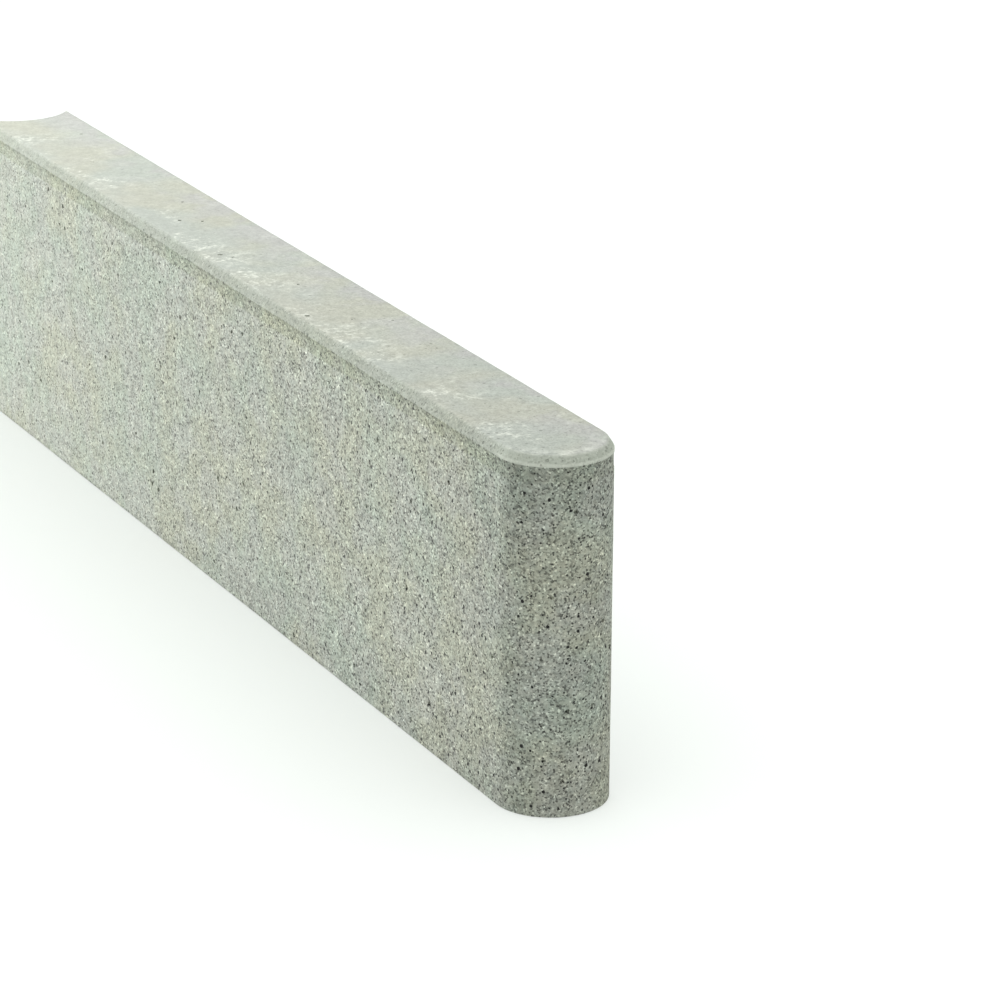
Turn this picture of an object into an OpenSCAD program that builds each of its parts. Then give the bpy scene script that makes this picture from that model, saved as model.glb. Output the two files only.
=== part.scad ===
// Kerb stone cast in one piece from concrete. One end is a half-round nose
// and the other a hollow of nearly the same radius, so that the stones of a
// row key into each other. A small steep chamfer runs right round the top.
// The origin is at the middle of the base. X runs along the stone towards
// its nose, Y across its thickness and Z up.

/* [Stone] */
// Overall length, from the horn tips to the tip of the nose
kerb_l = 1000; // [500:1:2000]
// Height, from the base to the top face
kerb_h = 250; // [120:1:400]
// Thickness, which is also the width of the half-round nose
kerb_t = 80; // [50:1:160]

/* [Top chamfer] */
// Width of the chamfer, measured across the top face
chamfer_w = 4; // [2:0.5:12]
// Drop of the chamfer, measured down the sides
chamfer_d = 6; // [1:0.5:12]

/* [Hollow end] */
// Play between the hollow and the nose of the next stone
joint_play = 0.5; // [0:0.25:5]
// Width of the blunt tip of each horn beside the hollow
horn_tip_w = 3; // [1.5:0.25:6]

/* [Hidden] */
$fn = 96;
// Reach of a cutting shape past the faces that it cuts
overcut = 5;
// Height of the arris where the chamfer meets the sides
arris_z = kerb_h - chamfer_d;
// The nose is a half round whose axis stands one radius behind its tip
nose_r = kerb_t / 2;
nose_axis_x = kerb_l / 2 - nose_r;
// The horn tips are the far end of the stone
horn_end_x = -kerb_l / 2;
// The hollow's circle passes through the inner edges of both horn tips
hollow_r = nose_r + joint_play;
mouth_half_w = nose_r - horn_tip_w;
hollow_axis_x = horn_end_x - sqrt(pow(hollow_r, 2) - pow(mouth_half_w, 2));
// Run of the chamfer for each millimetre of its drop
chamfer_run = chamfer_w / chamfer_d;

// Half of the stone's section, from its middle plane to one side
module half_section() {
    polygon([
        [0, 0],
        [nose_r, 0],
        [nose_r, arris_z],
        [nose_r - chamfer_w, kerb_h],
        [0, kerb_h]
    ]);
}

// Straight length between the hollow end and the nose
module straight_length() {
    translate([horn_end_x, 0, 0])
        rotate([90, 0, 90])
            linear_extrude(nose_axis_x - horn_end_x) {
                half_section();
                mirror([1, 0]) half_section();
            }
}

// Half-round nose: the half section turned about the nose's axis
module nose() {
    translate([nose_axis_x, 0, 0])
        rotate([0, 0, -90])
            rotate_extrude(angle = 180)
                half_section();
}

// Hollow for the next stone's nose, flared at the top by its chamfer
module hollow_cut() {
    translate([hollow_axis_x, 0, 0])
        rotate_extrude()
            polygon([
                [0, -overcut],
                [hollow_r, -overcut],
                [hollow_r, arris_z],
                [hollow_r + (chamfer_d + overcut) * chamfer_run, kerb_h + overcut],
                [0, kerb_h + overcut]
            ]);
}

module kerb_stone() {
    color([0.77, 0.77, 0.74])
        difference() {
            union() {
                straight_length();
                nose();
            }
            hollow_cut();
        }
}

kerb_stone();
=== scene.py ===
"""Concrete kerb stone: the finished look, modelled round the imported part."""

import math
import random

import bpy
from mathutils import Matrix, Vector


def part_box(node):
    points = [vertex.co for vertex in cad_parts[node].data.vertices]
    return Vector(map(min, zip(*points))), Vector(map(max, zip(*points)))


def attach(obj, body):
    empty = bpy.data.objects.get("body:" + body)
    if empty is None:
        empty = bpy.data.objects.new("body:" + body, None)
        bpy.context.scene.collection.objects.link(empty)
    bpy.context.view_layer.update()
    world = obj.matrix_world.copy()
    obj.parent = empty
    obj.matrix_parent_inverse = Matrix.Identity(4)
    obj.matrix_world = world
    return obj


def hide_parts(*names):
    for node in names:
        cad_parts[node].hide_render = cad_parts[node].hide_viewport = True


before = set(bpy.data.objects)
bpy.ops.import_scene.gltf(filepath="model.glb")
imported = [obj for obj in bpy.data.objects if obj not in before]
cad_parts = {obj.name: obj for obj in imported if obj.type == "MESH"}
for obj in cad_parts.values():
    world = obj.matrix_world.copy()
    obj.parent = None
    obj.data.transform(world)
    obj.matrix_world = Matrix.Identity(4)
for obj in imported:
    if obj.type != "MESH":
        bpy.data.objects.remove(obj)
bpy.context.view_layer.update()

MM = 0.001
LOW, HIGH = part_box("kerb_stone")
LENGTH = HIGH.x - LOW.x
THICKNESS = HIGH.y - LOW.y
HEIGHT = HIGH.z - LOW.z
MIDDLE = (LOW + HIGH) / 2

# The keyed ends
NOSE_RADIUS = THICKNESS / 2
NOSE_AXIS_X = HIGH.x - NOSE_RADIUS
NOSE_STRIPS = 22
HOLLOW_PLAY = 0.5 * MM
HORN_TIP = 3 * MM
HOLLOW_RADIUS = NOSE_RADIUS + HOLLOW_PLAY
MOUTH_HALF = NOSE_RADIUS - HORN_TIP
HOLLOW_AXIS_X = LOW.x - math.sqrt(HOLLOW_RADIUS ** 2 - MOUTH_HALF ** 2)
CORE_STRIPS = 128
CORE_BELOW = 20 * MM
CORE_ABOVE = 5 * MM

# Steps of the rim, as (depth inside the full outline, drop below the top):
# the wall, a shallow band under the arris, the burr on the arris, the
# chamfer, and the softened edge of the top face.
RIM = [
    (0.12 * MM, 20.0 * MM),
    (0.42 * MM, 19.0 * MM),
    (0.52 * MM, 13.0 * MM),
    (0.46 * MM, 9.00 * MM),
    (0.15 * MM, 8.30 * MM),
    (0.03 * MM, 7.50 * MM),
    (0.06 * MM, 6.40 * MM),
    (0.75 * MM, 5.00 * MM),
    (2.00 * MM, 3.12 * MM),
    (3.25 * MM, 1.25 * MM),
    (3.70 * MM, 0.65 * MM),
    (4.30 * MM, 0.24 * MM),
    (5.40 * MM, 0.06 * MM),
]
WALL_INSET, WALL_DROP = RIM[0]
TOP_DROP = RIM[-1][1]
WALL_TOP = HIGH.z - WALL_DROP
MERGE_WITHIN = 0.05 * MM
BASE_WEAR = 0.8 * MM
HORN_WEAR = 0.9 * MM
WEAR_STRIPS = 2
SMOOTH_ANGLE = math.radians(35)

# How squarely an edge or a face must point up, and how near a corner it must lie
UPRIGHT = 0.9
PLUMB = 0.99
NEAR_BASE = 0.1 * MM
NEAR_HORNS = 1 * MM
ABOVE_BASE = 10 * MM

# Slow waves, then ripples, as (name, wavelength, depth), in walls cut to a grid
UNEVENNESS = [
    ("cast_waves", 60 * MM, 0.22 * MM),
    ("cast_ripples", 14 * MM, 0.22 * MM),
]
GRID = 4 * MM

# Air voids tried on each wall. One that would crowd another is left out.
SEED = 20
VOIDS = [("front", 300), ("back", 300), ("nose", 110), ("hollow", 60), ("top", 14)]
VOID_LUMPINESS = 0.22
SMALLEST_VOID = 0.75 * MM
VOID_GROWTH = 1.35 * MM
VOID_SUNK = (-0.1, 0.5)
VOID_STRETCH = (0.7, 1.25)
VOID_ELBOW_ROOM = 1.6
CORNER_GAP = 5 * MM
WALL_TOP_GAP = 2 * MM
TOP_EDGE_GAP = 9 * MM
TOP_HOLLOW_GAP = 40 * MM
HORN_GAP_RADIANS = 0.1

# Nicks tried on the arrises
NICKS = 60
NICK_MILLIMETRES = (1.2, 2.6)
NICK_STANDOFF = 0.75
NICK_DROP = 6.0 * MM
NICK_END_GAP = 10 * MM
NICKS_ON_NOSE = 0.15

# Shades of the cement skin and its grains, as plain ratios of red, green, blue
BEIGE = (0.96, 1.0, 0.81)
GREEN_GREY = (0.90, 1.0, 0.85)
LILAC_GREY = (0.95, 0.985, 0.88)
# Painted shade for the band under the rim's burr
UNDER_RIM_SHADE = (0.86, 0.87, 0.81)
CHAMFER = (0.89, 0.97, 0.81)
# The dark of the pinholes and pores is painted shade inside the sunken holes
PORE = (0.035, 0.037, 0.030)
DEEP_PORE = (0.010, 0.011, 0.009)
TOP_BEIGE = (0.97, 1.0, 0.83)
TOP_GREEN = (0.92, 1.0, 0.88)
TOP_LILAC = (0.96, 0.98, 0.92)
# The pale of the lime flecks and the worn crest, also used for the painted highlights round the
# nose
LIME_AND_HIGHLIGHT = (0.70, 0.73, 0.64)
WARM_SAND = (1.015, 1.0, 0.98)
COOL_SAND = (0.98, 1.0, 1.0)
WALL_TONE = 0.377
TOP_TONE = 0.356
SAND_SHADES = [(0.0, 0.22), (0.15, 0.55), (0.38, 0.92), (0.80, 1.05), (0.94, 1.34), (1.0, 1.80)]

# Cells along a metre
SAND_CELLS = 820
GRAVEL_CELLS = 330
PINHOLE_CELLS = 250
PORE_CELLS = 155

# Cloudy patterns: (waves along a metre, detail, roughness, lowest reading, highest)
EDGE_CLOUDS = (60, 3, 0.5, 0.3, 0.7)
DRIFT_CLOUDS = (13, 2, 0.5, 0.38, 0.62)
PATCH_CLOUDS = (27, 3, 0.5, 0.42, 0.60)
MOTTLE_CLOUDS = (75, 4, 0.6, 0.3, 0.7)
STRAND_CLOUDS = (420, 3, 0.6, 0.3, 0.7)
SKIN_CLOUDS = (150, 5, 0.75, 0.3, 0.7)
LIME_CLOUDS = (230, 5, 0.7, 0.50, 0.64)
LIME_FIELDS = (23, 3, 0.6, 0.45, 0.60)
# Breaks up the painted highlight on the top's edge round the nose
HIGHLIGHT_CLOUDS = (150, 4, 0.7, 0.40, 0.62)
LIP_CLOUDS = (90, 4, 0.7, 0.40, 0.60)
WOBBLE_WAVES = 900
WOBBLE = 0.9 * MM
GRIT_WAVES = 900

# How far each pattern makes the tone lighter and darker
GRAVEL_DEPTH = 0.15
MOTTLE_DEPTH = 0.12
STRAND_DEPTH = 0.06
SKIN_DEPTH = 0.12
TOP_SAND_DEPTH = 0.12

# Drops below the top between which a finish, a painted highlight and the painted shade under the
# rim come in
SKIN_DROPS = (2.4 * MM, 0.9 * MM)
# Painted highlight along the chamfer's upper edge round the nose
LIP_DROPS = (1.6 * MM, 0.6 * MM)
# The chamfer's lower crest, partly worn pale and partly a painted highlight
CREST_DROPS = (6.0 * MM, 4.8 * MM)
RIM_DROPS = (7.9 * MM, 7.1 * MM)
# Painted shade in the band under the rim
BAND_DROPS = (20.0 * MM, 18.0 * MM)
EDGE_WANDER = 0.35 * MM

# Fades along the stone: (from x, to x), then the first and last value if not 0 and 1
NOSE_BEGINS = (NOSE_AXIS_X - 10 * MM, NOSE_AXIS_X + 12 * MM)
GRAIN_BOLDNESS = (LOW.x, HIGH.x - 100 * MM, 0.62, 1.0)
PORE_PLENTY = (LOW.x, HIGH.x - 50 * MM, 0.30, 1.0)
# Where the painted shade at the foot begins along the stone
FOOT_BEGINS = (-150 * MM, 50 * MM)
# Painted shade on the flat sides towards the nose
SHOULDER_SHADE = (350 * MM, 460 * MM, 0, 0.13)
# Painted light: the top lighter towards the far end and darker towards the nose
TOP_LIGHT_FALLOFF = (LOW.x, HIGH.x, 1.05, 0.90)
TOP_SAND_BOLDNESS = (-100 * MM, 100 * MM, 0.55, 1.0)
TOP_PINHOLES = (360 * MM, 470 * MM, 0.04, 0.35)

# Fades across the top: (from y, to y, first value, last value)
LIME_TO_BACK = (5 * MM, LOW.y + 8 * MM, 0.25, 1.0)
LILAC_TO_BACK = (-10 * MM, 30 * MM, 0.1, 0.9)
# How the painted highlight on the top's edge fades towards the back
HIGHLIGHT_TO_BACK = (18 * MM, 32 * MM, 1.0, 0.1)

# Fades up the walls: (from z, to z, first value, last value)
# Painted shade near the foot of the walls
FOOT_SHADE = (LOW.z + 8 * MM, LOW.z + 50 * MM, 0.08, 0)
# Painted shade high up on the rounded ends
CROWN_SHADE = (190 * MM, 230 * MM, 0.06, 0.18)
COARSE_PORES = (LOW.z + 30 * MM, LOW.z + 100 * MM, 0.02, 0)

# Fades by how squarely a face points one way, written like those along the stone
FACES_UP = (0.90, 0.99)
FACES_SIDEWAYS = (0.95, 0.995)
# Painted shade on faces turned into the hollow
HOLLOW_SHADE = (-0.25, -0.70, 0, 0.22)

# Holes, in parts of a cell. A pinhole fades out between two distances from its
# cell's point. Pores run from a smallest to a largest reach, with a soft edge.
PINHOLE_REACH = (0.12, 0.22)
PORE_REACH = (0.07, 0.21)
PORE_SOFTNESS = 0.04

# A cell has a hole where its chance, from 0 to 1, is past these values
PINHOLE_CHANCE = (0.50, 0.60)
PORE_CHANCE = (0.18, 0.22)

# How much of one finish shows in another, and how strong the painted highlights are
PATCH_SHARE = 0.7
TOP_PORES = 0.4
FLECK_LIME = 0.65
# Strength of the painted highlight along the chamfer's upper edge
LIP_HIGHLIGHT = 0.20
# Strength of the painted highlight on the top's edge round the nose
NOSE_RIM_HIGHLIGHT = 0.26

# The same, as (on sloping faces, on level faces)
SKIN_SHARE = (0.35, 1)

# The same, as (along the side, round the nose)
# Share of the painted shade in the band under the rim
BAND_SHARE = (1, 0.45)
CHAMFER_SHARE = (0.50, 0.68)
# Painted shade on the chamfer along the side, painted light on it round the nose
CHAMFER_LIGHT_AND_SHADE = (0.91, 1.12)
# The chamfer's lower crest, partly worn pale and partly a painted highlight
CREST_WEAR_AND_HIGHLIGHT = (0.06, 0.36)

# Where the painted highlight on the top's edge comes in, outwards from the nose's axis and ahead
# of it
NOSE_RIM_REACH = (22 * MM, 34 * MM)
NOSE_RIM_BEGINS = (0, 12 * MM)

# The strokes on the top: their turn, and the stretch of the fine and broad ones
STROKE_ANGLE = math.radians(-14)
DRAWN_STRETCH = (1, 0.35, 1)
DABBED_STRETCH = (1, 0.75, 1)

# Gloss and relief
WALL_ROUGHNESS = 0.93
TOP_ROUGHNESS = 0.8
GRIT_HEIGHT = 0.36 * MM
SAND_RELIEF = 0.5
HOLE_RELIEF = 2.0
TOP_SMOOTHING = 0.85
RIM_SMOOTHING = 0.10

# The stage
FLOOR_SIZE = 16
FLOOR_COLOUR = (0.50, 0.53, 0.505, 1)
FLOOR_ROUGHNESS = 0.8
FLOOR_GLOW = (0.985, 1, 0.985, 1)
FLOOR_GLOW_STRENGTH = 0.37
LAMP_PLACE = (-2.8, -1.12, 0.9)
LAMP_SIZE = 1.0
LAMP_WATTS = 133
SKY_HEIGHT = 3
SKY_STRENGTH = 2.9
SKY_SPREAD = math.radians(110)
SURROUNDINGS = (1, 1, 1, 1)
SURROUNDINGS_STRENGTH = 0.45

# The camera, aimed at the front side high up where the nose begins
CAMERA_AZIMUTH = math.radians(62.87)
CAMERA_ELEVATION = math.radians(19.35)
CAMERA_ROLL = math.radians(0.32)
CAMERA_DISTANCE = 2.6387
CAMERA_AIM = Vector((HIGH.x - 36.43 * MM, LOW.y, LOW.z + 214.35 * MM))
SENSOR_MILLIMETRES = 36
LENS_MILLIMETRES = 147.94


# ---------------------------------------------------------------- modelling

def deselect_everything():
    if bpy.context.object and bpy.context.object.mode != "OBJECT":
        bpy.ops.object.mode_set(mode="OBJECT")
    bpy.ops.object.select_all(action="DESELECT")


def work_on(piece):
    deselect_everything()
    bpy.context.view_layer.objects.active = piece
    piece.select_set(True)


def pick(piece, part, wanted):
    """Select the faces or edges for which wanted(centre, direction) holds."""
    work_on(piece)
    bpy.ops.object.mode_set(mode="EDIT")
    bpy.ops.mesh.select_mode(type=part)
    bpy.ops.mesh.select_all(action="DESELECT")
    bpy.ops.object.mode_set(mode="OBJECT")
    mesh = piece.data
    if part == "FACE":
        for face in mesh.polygons:
            face.select = wanted(face.center, face.normal)
    else:
        for edge in mesh.edges:
            start, end = (mesh.vertices[i].co for i in edge.vertices)
            edge.select = wanted((start + end) / 2, (end - start).normalized())
    bpy.ops.object.mode_set(mode="EDIT")


def apply_modifier(piece, kind, **settings):
    work_on(piece)
    modifier = piece.modifiers.new(kind.lower(), kind)
    for name, value in settings.items():
        setattr(modifier, name, value)
    bpy.ops.object.modifier_apply(modifier=modifier.name)


def cut_planes(axis, start, stop, spacing):
    """Bisect all the faces at even spaces along one axis."""
    count = round((stop - start) / spacing)
    normal = Vector((0, 0, 0))
    normal[axis] = 1
    for step in range(1, count):
        place = Vector((0, 0, 0))
        place[axis] = start + (stop - start) * step / count
        bpy.ops.mesh.bisect(plane_co=place, plane_no=normal)
        bpy.ops.mesh.select_all(action="SELECT")


def raise_cap(centre, full_size, widen_only=False):
    """Carry the selected cap up and in, or out, through the steps of the rim."""
    for (inset, drop), (next_inset, next_drop) in zip(RIM, RIM[1:]):
        inward = next_inset - inset
        rise = drop - next_drop
        if inward > 0 and not widen_only:
            bpy.ops.mesh.inset(thickness=inward, depth=0)
            bpy.ops.transform.translate(value=(0, 0, rise))
            continue
        if widen_only:
            old = full_size + Vector((inset, inset)) * 2
            new = full_size + Vector((next_inset, next_inset)) * 2
        else:
            old = full_size - Vector((inset, inset)) * 2
            new = full_size - Vector((next_inset, next_inset)) * 2
        bpy.ops.mesh.extrude_region_move(TRANSFORM_OT_translate={"value": (0, 0, rise)})
        bpy.ops.transform.resize(
            value=(new.x / old.x, new.y / old.y, 1), center_override=centre
        )


def cast_block():
    """The stone without its hollow: a block with a half-round nose and rim."""
    size = Vector((LENGTH, THICKNESS, HEIGHT - WALL_DROP))
    size.x -= 2 * WALL_INSET
    size.y -= 2 * WALL_INSET
    bpy.ops.mesh.primitive_cube_add(
        size=1, location=(MIDDLE.x, MIDDLE.y, LOW.z + size.z / 2), scale=size
    )
    block = bpy.context.object
    block.name = "cast_kerb_stone"
    bpy.ops.object.transform_apply(location=True, rotation=True, scale=True)
    pick(block, "EDGE", lambda c, d: abs(d.z) > UPRIGHT and c.x > NOSE_AXIS_X)
    bpy.ops.mesh.bevel(
        offset=size.y / 2, segments=NOSE_STRIPS, affect="EDGES", clamp_overlap=False
    )
    bpy.ops.mesh.select_all(action="SELECT")
    bpy.ops.mesh.remove_doubles(threshold=MERGE_WITHIN)
    pick(block, "FACE", lambda c, n: n.z > UPRIGHT)
    raise_cap(MIDDLE, Vector((LENGTH, THICKNESS)))
    bpy.ops.object.mode_set(mode="OBJECT")
    return block


def hollow_core():
    """The mould's core that leaves the hollow, flared like the rim."""
    height = HEIGHT - WALL_DROP + CORE_BELOW
    bpy.ops.mesh.primitive_cylinder_add(
        vertices=CORE_STRIPS, radius=HOLLOW_RADIUS + WALL_INSET, depth=height,
        location=(HOLLOW_AXIS_X, MIDDLE.y, LOW.z - CORE_BELOW + height / 2),
    )
    core = bpy.context.object
    core.name = "hollow_core"
    bpy.ops.object.transform_apply(location=True, rotation=True, scale=True)
    pick(core, "FACE", lambda c, n: n.z > UPRIGHT)
    axis = Vector((HOLLOW_AXIS_X, MIDDLE.y, MIDDLE.z))
    raise_cap(axis, 2 * Vector((HOLLOW_RADIUS, HOLLOW_RADIUS)), widen_only=True)
    bpy.ops.mesh.extrude_region_move(TRANSFORM_OT_translate={"value": (0, 0, CORE_ABOVE)})
    bpy.ops.object.mode_set(mode="OBJECT")
    return core


def ease_corners(block):
    """Take the sharpness off the base and the upright edges of the horns."""
    pick(block, "EDGE", lambda c, d: c.z < LOW.z + NEAR_BASE)
    bpy.ops.mesh.bevel(offset=BASE_WEAR, segments=WEAR_STRIPS, affect="EDGES")
    pick(
        block, "EDGE",
        lambda c, d: abs(d.z) > PLUMB and c.x < LOW.x + NEAR_HORNS
        and LOW.z + ABOVE_BASE < c.z < WALL_TOP,
    )
    bpy.ops.mesh.bevel(offset=HORN_WEAR, segments=WEAR_STRIPS, affect="EDGES")
    bpy.ops.object.mode_set(mode="OBJECT")


def grid_faces(block):
    """Cut the walls into a fine grid that can take the cast's unevenness."""
    work_on(block)
    bpy.ops.object.mode_set(mode="EDIT")
    bpy.ops.mesh.select_mode(type="FACE")
    bpy.ops.mesh.select_all(action="SELECT")
    cut_planes(0, LOW.x, HIGH.x, GRID)
    cut_planes(2, LOW.z, WALL_TOP, GRID)
    cut_planes(1, LOW.y, HIGH.y, GRID)
    bpy.ops.object.mode_set(mode="OBJECT")


def roughen(block):
    """Let the walls wander a little, always inwards from the true size."""
    for name, size, depth in UNEVENNESS:
        clouds = bpy.data.textures.new(name, "CLOUDS")
        clouds.noise_scale = size
        clouds.noise_depth = 2
        apply_modifier(
            block, "DISPLACE", texture=clouds, texture_coords="LOCAL",
            strength=depth, mid_level=1.0,
        )


def air_void():
    """One rounded, uneven air bubble of unit radius."""
    bpy.ops.mesh.primitive_ico_sphere_add(subdivisions=2, radius=1)
    void = bpy.context.object
    void.name = "air_void"
    bpy.ops.object.mode_set(mode="EDIT")
    bpy.ops.transform.vertex_random(offset=VOID_LUMPINESS, seed=SEED)
    bpy.ops.object.mode_set(mode="OBJECT")
    return void


def around(dice, widest):
    """A random level direction within an angle of the +X direction."""
    turn = dice.uniform(-widest, widest)
    return Vector((math.cos(turn), math.sin(turn), 0))


def wall_spot(dice, wall):
    """A random spot on a wall and the wall's outward direction there."""
    z = dice.uniform(LOW.z + CORNER_GAP, WALL_TOP - WALL_TOP_GAP)
    if wall == "nose":
        out = around(dice, math.pi / 2)
        axis = Vector((NOSE_AXIS_X, MIDDLE.y, z))
        return axis + out * (NOSE_RADIUS - WALL_INSET), out
    if wall == "hollow":
        out = -around(dice, math.asin(MOUTH_HALF / HOLLOW_RADIUS) - HORN_GAP_RADIANS)
        axis = Vector((HOLLOW_AXIS_X, MIDDLE.y, z))
        return axis - out * (HOLLOW_RADIUS + WALL_INSET), out
    x = dice.uniform(LOW.x + CORNER_GAP, NOSE_AXIS_X)
    if wall == "top":
        x = max(x, LOW.x + TOP_HOLLOW_GAP)
        y = dice.uniform(LOW.y + TOP_EDGE_GAP, HIGH.y - TOP_EDGE_GAP)
        return Vector((x, y, HIGH.z - TOP_DROP)), Vector((0, 0, 1))
    side = 1 if wall == "back" else -1
    y = MIDDLE.y + side * (THICKNESS / 2 - WALL_INSET)
    return Vector((x, y, z)), Vector((0, side, 0))


def arris_spot(dice):
    """A random spot on one of the long arrises or round the nose."""
    z = HIGH.z - NICK_DROP
    if dice.random() < NICKS_ON_NOSE:
        out = around(dice, math.pi / 2)
        return Vector((NOSE_AXIS_X, MIDDLE.y, z)) + out * NOSE_RADIUS, out
    side = dice.choice((-1, 1))
    x = dice.uniform(LOW.x + NICK_END_GAP, NOSE_AXIS_X)
    return Vector((x, MIDDLE.y + side * NOSE_RADIUS, z)), Vector((0, side, 0))


def scatter_voids(pattern):
    """Copies of the air void over every wall, plus small nicks in the arrises."""
    dice = random.Random(SEED)
    taken = []
    voids = []

    def place(spot, out, radius, sunk):
        if any((spot - other).length < radius + reach for other, reach in taken):
            return
        taken.append((spot, radius * VOID_ELBOW_ROOM))
        void = pattern.copy()
        void.data = pattern.data.copy()
        bpy.context.collection.objects.link(void)
        void.location = spot - out * (radius * sunk)
        void.rotation_euler = [dice.uniform(0, math.tau) for _ in range(3)]
        void.scale = [radius * dice.uniform(*VOID_STRETCH) for _ in range(3)]
        voids.append(void)

    for wall, count in VOIDS:
        for _ in range(count):
            spot, out = wall_spot(dice, wall)
            radius = SMALLEST_VOID + VOID_GROWTH * dice.random() ** 3
            place(spot, out, radius, dice.uniform(*VOID_SUNK))
    for _ in range(NICKS):
        spot, out = arris_spot(dice)
        radius = dice.uniform(*NICK_MILLIMETRES) * MM
        place(spot + out * radius * NICK_STANDOFF, out, radius, 0)
    return voids


def punch_voids(block):
    """Cut all the air voids and nicks out of the block."""
    pattern = air_void()
    voids = scatter_voids(pattern)
    bpy.data.objects.remove(pattern)
    deselect_everything()
    for void in voids:
        void.select_set(True)
    bpy.context.view_layer.objects.active = voids[0]
    bpy.ops.object.join()
    bpy.ops.object.transform_apply(location=True, rotation=True, scale=True)
    cutter = voids[0]
    apply_modifier(block, "BOOLEAN", object=cutter, operation="DIFFERENCE", solver="MANIFOLD")
    bpy.data.objects.remove(cutter)


# ---------------------------------------------------------------- materials

class Recipe:
    """Short hands for laying out one material's nodes."""

    def __init__(self, name):
        self.material = bpy.data.materials.new(name)
        self.material.use_nodes = True
        self.tree = self.material.node_tree
        self.shader = self.tree.nodes["Principled BSDF"]
        coordinates = self.tree.nodes.new("ShaderNodeTexCoord")
        self.place = coordinates.outputs["Object"]
        self.facing = coordinates.outputs["Normal"]

    def feed(self, socket, value):
        """Link a socket to another node's output, or give it a plain value."""
        if isinstance(value, bpy.types.NodeSocket):
            self.tree.links.new(value, socket)
        else:
            socket.default_value = value

    def voronoi(self, scale, place=None):
        """The distance to each cell's point, and two random numbers for the cell."""
        cells = self.tree.nodes.new("ShaderNodeTexVoronoi")
        self.feed(cells.inputs["Vector"], place or self.place)
        cells.inputs["Scale"].default_value = scale
        chance = self.tree.nodes.new("ShaderNodeSeparateColor")
        self.feed(chance.inputs["Color"], cells.outputs["Color"])
        return cells.outputs["Distance"], chance.outputs["Red"], chance.outputs["Green"]

    def noise(self, scale, detail=2.0, roughness=0.5, place=None):
        cloud = self.tree.nodes.new("ShaderNodeTexNoise")
        self.feed(cloud.inputs["Vector"], place or self.place)
        cloud.inputs["Scale"].default_value = scale
        cloud.inputs["Detail"].default_value = detail
        cloud.inputs["Roughness"].default_value = roughness
        return cloud.outputs["Fac"]

    def clouds(self, pattern, first=0.0, last=1.0, smooth=False, place=None):
        """A cloudy pattern, spread from the first value to the last."""
        scale, detail, roughness, lowest, highest = pattern
        reading = self.noise(scale, detail, roughness, place)
        return self.spread(reading, lowest, highest, first, last, smooth)

    def turned(self, angle, scale):
        """The place, turned about the upright and stretched."""
        mapping = self.tree.nodes.new("ShaderNodeMapping")
        self.feed(mapping.inputs["Vector"], self.place)
        mapping.inputs["Rotation"].default_value = (0, 0, angle)
        mapping.inputs["Scale"].default_value = scale
        return mapping.outputs["Vector"]

    def wobbled(self, scale, reach):
        """The place, pushed about at random within the reach."""
        cloud = self.tree.nodes.new("ShaderNodeTexNoise")
        self.feed(cloud.inputs["Vector"], self.place)
        cloud.inputs["Scale"].default_value = scale
        push = self.tree.nodes.new("ShaderNodeVectorMath")
        push.operation = "MULTIPLY_ADD"
        self.feed(push.inputs[0], cloud.outputs["Color"])
        push.inputs[1].default_value = (reach, reach, reach)
        self.feed(push.inputs[2], self.place)
        return push.outputs["Vector"]

    def parts(self, vector):
        split = self.tree.nodes.new("ShaderNodeSeparateXYZ")
        self.feed(split.inputs["Vector"], vector)
        return split.outputs["X"], split.outputs["Y"], split.outputs["Z"]

    def math(self, operation, first, second=0.0):
        node = self.tree.nodes.new("ShaderNodeMath")
        node.operation = operation
        for socket, value in zip(node.inputs, (first, second)):
            self.feed(socket, value)
        return node.outputs["Value"]

    def plus(self, first, second):
        return self.math("ADD", first, second)

    def minus(self, first, second):
        return self.math("SUBTRACT", first, second)

    def times(self, first, second):
        return self.math("MULTIPLY", first, second)

    def spread(self, value, low, high, first=0.0, last=1.0, smooth=False):
        """Carry a value from low to high over to the range from first to last."""
        scale = self.tree.nodes.new("ShaderNodeMapRange")
        scale.interpolation_type = "SMOOTHSTEP" if smooth else "LINEAR"
        for name, number in (
            ("Value", value), ("From Min", low), ("From Max", high),
            ("To Min", first), ("To Max", last),
        ):
            self.feed(scale.inputs[name], number)
        return scale.outputs["Result"]

    def between_drops(self, height, drops, first=0.0, last=1.0, smooth=False):
        """Go from the first value to the last between two drops below the top."""
        lower, upper = drops
        return self.spread(height, HIGH.z - lower, HIGH.z - upper, first, last, smooth)

    def steps(self, value, stops):
        """Greys at set values, as (value, grey), and blended in between."""
        ramp = self.tree.nodes.new("ShaderNodeValToRGB")
        self.feed(ramp.inputs["Fac"], value)
        band = ramp.color_ramp
        while len(band.elements) < len(stops):
            band.elements.new(0.5)
        for element, (position, grey) in zip(band.elements, stops):
            element.position = position
            element.color = (grey, grey, grey, 1)
        return ramp.outputs["Color"]

    def blend(self, factor, first, second, way="MIX"):
        mix = self.tree.nodes.new("ShaderNodeMix")
        mix.data_type = "RGBA"
        mix.blend_type = way
        self.feed(mix.inputs["Factor"], factor)
        self.feed(mix.inputs[6], first)
        self.feed(mix.inputs[7], second)
        return mix.outputs[2]

    def shade(self, colour, by, share=1.0):
        """Multiply a colour by a tone or tint, wholly or in part."""
        return self.blend(share, colour, by, "MULTIPLY")

    def relief(self, height, strength, depth):
        bump = self.tree.nodes.new("ShaderNodeBump")
        self.feed(bump.inputs["Height"], height)
        self.feed(bump.inputs["Strength"], strength)
        bump.inputs["Distance"].default_value = depth
        return bump.outputs["Normal"]


def tint(shade, strength=1.0):
    return tuple(channel * strength for channel in shade) + (1,)


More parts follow.
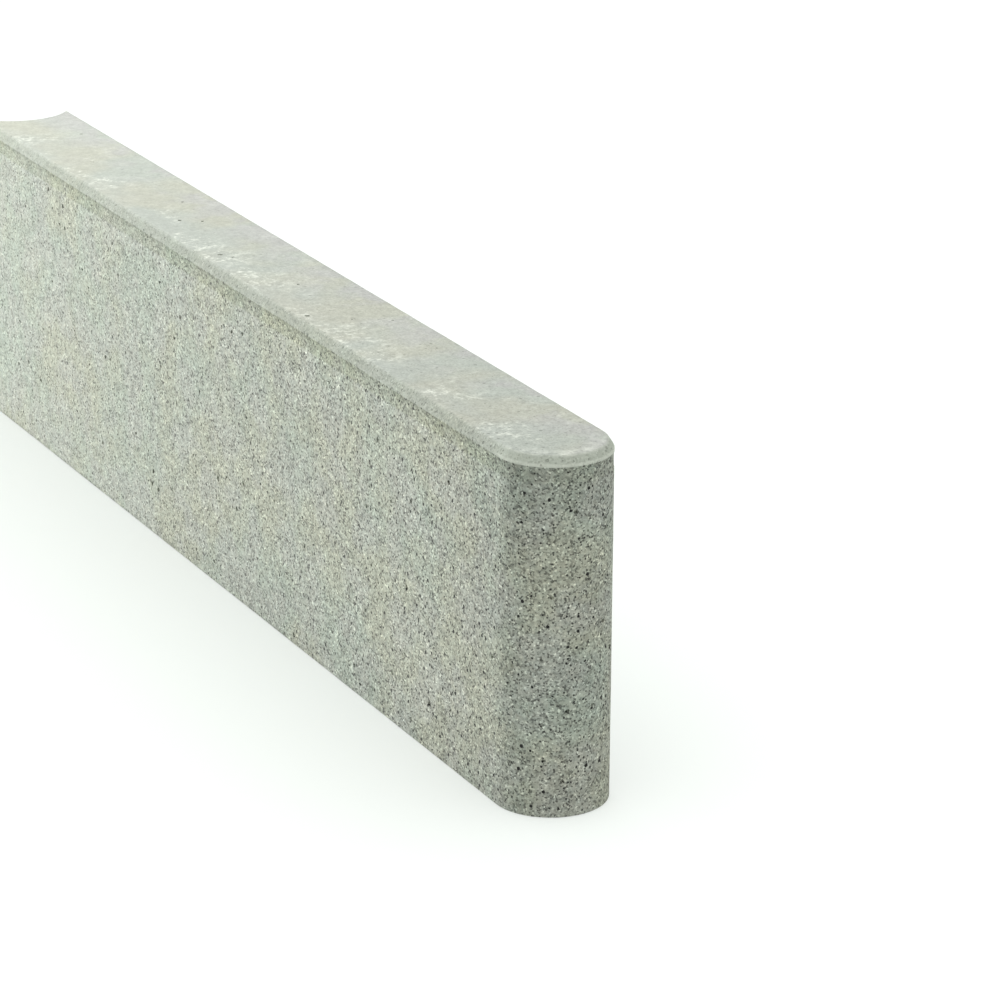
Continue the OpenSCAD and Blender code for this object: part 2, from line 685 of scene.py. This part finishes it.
def either_side(depth):
    """The darkest and lightest factor of a pattern of this depth."""
    return 1 - depth, 1 + depth


class Zones:
    """Places and directions on the stone, and where each finish, painted shade and painted
    highlight lies, from 0 to 1.
    """

    def __init__(self, mix):
        self.along, self.across, self.height = mix.parts(mix.place)
        self.endways, sideways, upwards = mix.parts(mix.facing)
        wander = mix.clouds(EDGE_CLOUDS, -EDGE_WANDER, EDGE_WANDER)
        self.edge = mix.plus(self.height, wander)
        self.level = mix.spread(upwards, *FACES_UP, smooth=True)
        top = mix.between_drops(self.edge, SKIN_DROPS, smooth=True)
        self.top = mix.times(top, mix.spread(self.level, 0, 1, *SKIN_SHARE))
        self.rim = mix.between_drops(self.height, RIM_DROPS, smooth=True)
        crest = mix.between_drops(self.height, CREST_DROPS, 1, 0)
        self.crest = mix.times(crest, self.rim)
        # The band under the rim, which takes painted shade
        band = mix.between_drops(self.edge, BAND_DROPS, smooth=True)
        self.band = mix.minus(band, self.rim)
        self.flat = mix.spread(mix.math("ABSOLUTE", sideways), *FACES_SIDEWAYS, smooth=True)
        self.rounded = mix.minus(1.0, self.flat)
        self.nose = mix.spread(self.along, *NOSE_BEGINS)


class Grains:
    """The patterns that the finishes are made from."""

    def __init__(self, mix, zones):
        # Colour drifts of the cement skin, a hand's breadth and a thumb's breadth wide
        self.drift = mix.clouds(DRIFT_CLOUDS, smooth=True)
        self.patch = mix.clouds(PATCH_CLOUDS, smooth=True)

        _, self.sand, _ = mix.voronoi(SAND_CELLS)
        _, self.gravel, self.hue = mix.voronoi(GRAVEL_CELLS)

        # Pinholes left by air against the mould
        near, chance, _ = mix.voronoi(PINHOLE_CELLS)
        pinhole = mix.spread(near, *PINHOLE_REACH, 1, 0)
        self.pinhole = mix.times(pinhole, mix.spread(chance, *PINHOLE_CHANCE))

        # Rarer, larger pores left by air, coarser low down on the rounded ends
        near, chance, size = mix.voronoi(PORE_CELLS, mix.wobbled(WOBBLE_WAVES, WOBBLE))
        reach = mix.spread(size, 0, 1, *PORE_REACH)
        coarser = mix.times(zones.rounded, mix.spread(zones.edge, *COARSE_PORES))
        reach = mix.plus(reach, coarser)
        pore = mix.spread(near, mix.minus(reach, PORE_SOFTNESS), reach, 1, 0)
        pore = mix.times(pore, mix.spread(chance, *PORE_CHANCE))
        self.pore = mix.times(pore, mix.spread(zones.along, *PORE_PLENTY))


def wall_skin(mix, zones, grains):
    """The open, sandy skin of the walls, bolder towards the nose."""
    wall = mix.blend(grains.drift, tint(BEIGE, WALL_TONE), tint(GREEN_GREY, WALL_TONE))
    wall = mix.blend(mix.times(grains.patch, PATCH_SHARE), wall, tint(LILAC_GREY, WALL_TONE))
    boldness = mix.spread(zones.along, *GRAIN_BOLDNESS)
    wall = mix.shade(wall, mix.steps(grains.sand, SAND_SHADES), boldness)
    wall = mix.shade(wall, mix.spread(grains.gravel, 0, 1, *either_side(GRAVEL_DEPTH)), boldness)
    wall = mix.shade(wall, mix.clouds(MOTTLE_CLOUDS, *either_side(MOTTLE_DEPTH)))
    wall = mix.shade(wall, mix.blend(grains.hue, tint(WARM_SAND), tint(COOL_SAND)))
    # The holes are sunken by the relief; their dark is painted shade inside them
    wall = mix.blend(grains.pinhole, wall, tint(PORE))
    return mix.blend(grains.pore, wall, tint(DEEP_PORE))


def paint_wall_shade(mix, zones, wall):
    """Painted shade on the walls: in the band under the rim, near the foot, on the flat sides near
    the nose, high on the rounded ends and in the hollow.
    """
    # Painted shade in the band under the rim, weaker round the nose
    rim_shadow = mix.times(zones.band, mix.spread(zones.nose, 0, 1, *BAND_SHARE))
    wall = mix.shade(wall, tint(UNDER_RIM_SHADE), rim_shadow)
    # Painted shade near the foot, towards the nose
    foot = mix.spread(zones.edge, *FOOT_SHADE)
    foot = mix.times(foot, mix.spread(zones.along, *FOOT_BEGINS))
    # Painted shade on the flat sides near the nose
    shoulder = mix.times(zones.flat, mix.spread(zones.along, *SHOULDER_SHADE))
    # Painted shade high up on the rounded ends
    crown = mix.times(zones.rounded, mix.spread(zones.edge, *CROWN_SHADE))
    # Painted shade on faces turned into the hollow
    hollow_painted_shade = mix.spread(zones.endways, *HOLLOW_SHADE)
    # All the painted shade, taken off the wall's colour together
    painted_shade = mix.plus(mix.plus(foot, hollow_painted_shade), mix.plus(shoulder, crown))
    return mix.shade(wall, mix.minus(1.0, painted_shade))


def struck_top(mix, zones, grains):
    """A pale, closed skin with fine marks drawn across it and flecks of lime, painted lighter
    towards the far end, with a painted highlight on its edge round the nose and painted shade in
    its holes.
    """
    skin = mix.blend(grains.drift, tint(TOP_BEIGE, TOP_TONE), tint(TOP_GREEN, TOP_TONE))
    lilac = mix.times(grains.patch, mix.spread(zones.across, *LILAC_TO_BACK))
    skin = mix.blend(lilac, skin, tint(TOP_LILAC, TOP_TONE))
    # Painted light: lighter towards the far end
    skin = mix.shade(skin, mix.spread(zones.along, *TOP_LIGHT_FALLOFF))
    drawn = mix.turned(STROKE_ANGLE, DRAWN_STRETCH)
    skin = mix.shade(skin, mix.clouds(STRAND_CLOUDS, *either_side(STRAND_DEPTH), place=drawn))
    skin = mix.shade(skin, mix.clouds(SKIN_CLOUDS, *either_side(SKIN_DEPTH)))
    sandy = mix.spread(grains.sand, 0, 1, *either_side(TOP_SAND_DEPTH))
    skin = mix.shade(skin, sandy, mix.spread(zones.along, *TOP_SAND_BOLDNESS))

    dabbed = mix.turned(STROKE_ANGLE, DABBED_STRETCH)
    flecks = mix.times(mix.clouds(LIME_CLOUDS, place=dabbed), mix.clouds(LIME_FIELDS, smooth=True))
    flecks = mix.times(flecks, mix.spread(zones.across, *LIME_TO_BACK))
    skin = mix.blend(mix.times(flecks, FLECK_LIME), skin, tint(LIME_AND_HIGHLIGHT))
    # The painted highlight on the top's edge round the nose
    skin = mix.blend(nose_rim(mix, zones), skin, tint(LIME_AND_HIGHLIGHT))

    # Pits on the top; their dark is painted shade inside them
    pit_shade = mix.times(grains.pinhole, mix.spread(zones.along, *TOP_PINHOLES))
    pit_shade = mix.math("MAXIMUM", pit_shade, mix.times(grains.pore, TOP_PORES))
    return mix.blend(pit_shade, skin, tint(PORE))


def nose_rim(mix, zones):
    """A painted highlight along the top's edge round the nose, weaker towards the back."""
    ahead = mix.math("MAXIMUM", mix.minus(zones.along, NOSE_AXIS_X), 0.0)
    outward = mix.plus(mix.math("POWER", ahead, 2.0), mix.math("POWER", zones.across, 2.0))
    outward = mix.math("SQRT", outward)
    rim_highlight = mix.spread(outward, *NOSE_RIM_REACH, 0, NOSE_RIM_HIGHLIGHT, smooth=True)
    rim_highlight = mix.times(rim_highlight, mix.spread(ahead, *NOSE_RIM_BEGINS))
    rim_highlight = mix.times(rim_highlight, mix.spread(zones.across, *HIGHLIGHT_TO_BACK))
    return mix.times(rim_highlight, mix.clouds(HIGHLIGHT_CLOUDS))


def chamfer_skin(mix, zones, wall):
    """A smoother wall, with painted shade along the side and painted light round the nose, and its
    lower crest partly worn pale and partly a painted highlight.
    """
    share = mix.spread(zones.nose, 0, 1, *CHAMFER_SHARE)
    chamfer = mix.blend(share, wall, tint(CHAMFER, WALL_TONE))
    # Painted shade along the side, painted light round the nose
    chamfer = mix.shade(chamfer, mix.spread(zones.nose, 0, 1, *CHAMFER_LIGHT_AND_SHADE))
    # The crest, partly worn pale and partly a painted highlight
    crest_wear_and_highlight = mix.times(zones.crest, mix.spread(zones.nose, 0, 1, *CREST_WEAR_AND_HIGHLIGHT))
    return mix.blend(crest_wear_and_highlight, chamfer, tint(LIME_AND_HIGHLIGHT))


def lip_highlight(mix, zones):
    """A painted highlight along the chamfer's upper edge round the nose."""
    lip = mix.between_drops(zones.height, LIP_DROPS, 0, LIP_HIGHLIGHT)
    lip = mix.times(lip, mix.clouds(LIP_CLOUDS))
    lip = mix.times(lip, mix.minus(1.0, zones.level))
    return mix.times(lip, zones.nose)


def grit_relief(mix, zones, grains):
    """Raised grit and sunken holes, flatter on the top and slightly so on the rim."""
    grit = mix.plus(mix.times(grains.sand, SAND_RELIEF), mix.noise(GRIT_WAVES))
    hole = mix.math("MAXIMUM", grains.pinhole, grains.pore)
    grit = mix.minus(grit, mix.times(hole, HOLE_RELIEF))
    coarse = mix.minus(1.0, mix.times(zones.top, TOP_SMOOTHING))
    coarse = mix.minus(coarse, mix.times(zones.rim, RIM_SMOOTHING))
    return mix.relief(grit, coarse, GRIT_HEIGHT)


def concrete():
    mix = Recipe("cast_concrete")
    zones = Zones(mix)
    grains = Grains(mix, zones)
    wall = paint_wall_shade(mix, zones, wall_skin(mix, zones, grains))
    colour = mix.blend(zones.rim, wall, chamfer_skin(mix, zones, wall))
    colour = mix.blend(zones.top, colour, struck_top(mix, zones, grains))
    # The painted highlight along the chamfer's upper edge round the nose
    colour = mix.blend(lip_highlight(mix, zones), colour, tint(LIME_AND_HIGHLIGHT))
    mix.feed(mix.shader.inputs["Base Color"], colour)
    gloss = mix.spread(zones.top, 0, 1, WALL_ROUGHNESS, TOP_ROUGHNESS)
    mix.feed(mix.shader.inputs["Roughness"], gloss)
    mix.feed(mix.shader.inputs["Normal"], grit_relief(mix, zones, grains))
    return mix.material


# ---------------------------------------------------------------- the stage

def lay_floor():
    bpy.ops.mesh.primitive_plane_add(size=FLOOR_SIZE, location=(MIDDLE.x, MIDDLE.y, LOW.z))
    floor = bpy.context.object
    floor.name = "pale_floor"
    material = bpy.data.materials.new("pale_floor")
    material.use_nodes = True
    shader = material.node_tree.nodes["Principled BSDF"]
    shader.inputs["Base Color"].default_value = FLOOR_COLOUR
    shader.inputs["Roughness"].default_value = FLOOR_ROUGHNESS
    shader.inputs["Emission Color"].default_value = FLOOR_GLOW
    shader.inputs["Emission Strength"].default_value = FLOOR_GLOW_STRENGTH
    floor.data.materials.append(material)


def hang_lights(stone):
    """A low lamp past the hollow end for the stone alone, and a pale sky over all."""
    bpy.ops.object.light_add(type="AREA", location=LAMP_PLACE)
    lamp = bpy.context.object
    lamp.name = "low_key_light"
    lamp.data.shape = "DISK"
    lamp.data.size = LAMP_SIZE
    lamp.data.energy = LAMP_WATTS
    lamp.rotation_euler = (MIDDLE - lamp.location).to_track_quat("-Z", "Y").to_euler()
    lit = bpy.data.collections.new("lit_by_key_light")
    lit.objects.link(stone)
    lamp.light_linking.receiver_collection = lit
    bpy.ops.object.light_add(type="SUN", location=(0, 0, SKY_HEIGHT))
    sky = bpy.context.object
    sky.name = "overhead_light"
    sky.data.energy = SKY_STRENGTH
    sky.data.angle = SKY_SPREAD
    world = bpy.data.worlds.new("studio")
    bpy.context.scene.world = world
    world.use_nodes = True
    background = world.node_tree.nodes["Background"]
    background.inputs["Color"].default_value = SURROUNDINGS
    background.inputs["Strength"].default_value = SURROUNDINGS_STRENGTH
    bpy.context.scene.view_settings.view_transform = "Standard"


def set_camera():
    back = Vector((
        math.sin(CAMERA_AZIMUTH) * math.cos(CAMERA_ELEVATION),
        -math.cos(CAMERA_AZIMUTH) * math.cos(CAMERA_ELEVATION),
        math.sin(CAMERA_ELEVATION),
    ))
    bpy.ops.object.camera_add(location=CAMERA_AIM + CAMERA_DISTANCE * back)
    camera = bpy.context.object
    camera.name = "camera"
    camera.data.sensor_width = SENSOR_MILLIMETRES
    camera.data.lens = LENS_MILLIMETRES
    level = (-back).to_track_quat("-Z", "Y").to_matrix()
    camera.rotation_euler = (level @ Matrix.Rotation(CAMERA_ROLL, 3, "Z")).to_euler()
    bpy.context.scene.camera = camera


# ---------------------------------------------------------------- building

set_camera()
deselect_everything()
stone = cast_block()
core = hollow_core()
apply_modifier(stone, "BOOLEAN", object=core, operation="DIFFERENCE", solver="EXACT")
bpy.data.objects.remove(core)
ease_corners(stone)
grid_faces(stone)
roughen(stone)
punch_voids(stone)
stone.data.materials.clear()
stone.data.materials.append(concrete())
work_on(stone)
bpy.ops.object.shade_smooth_by_angle(angle=SMOOTH_ANGLE)
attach(stone, "root")
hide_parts("kerb_stone")
lay_floor()
hang_lights(stone)
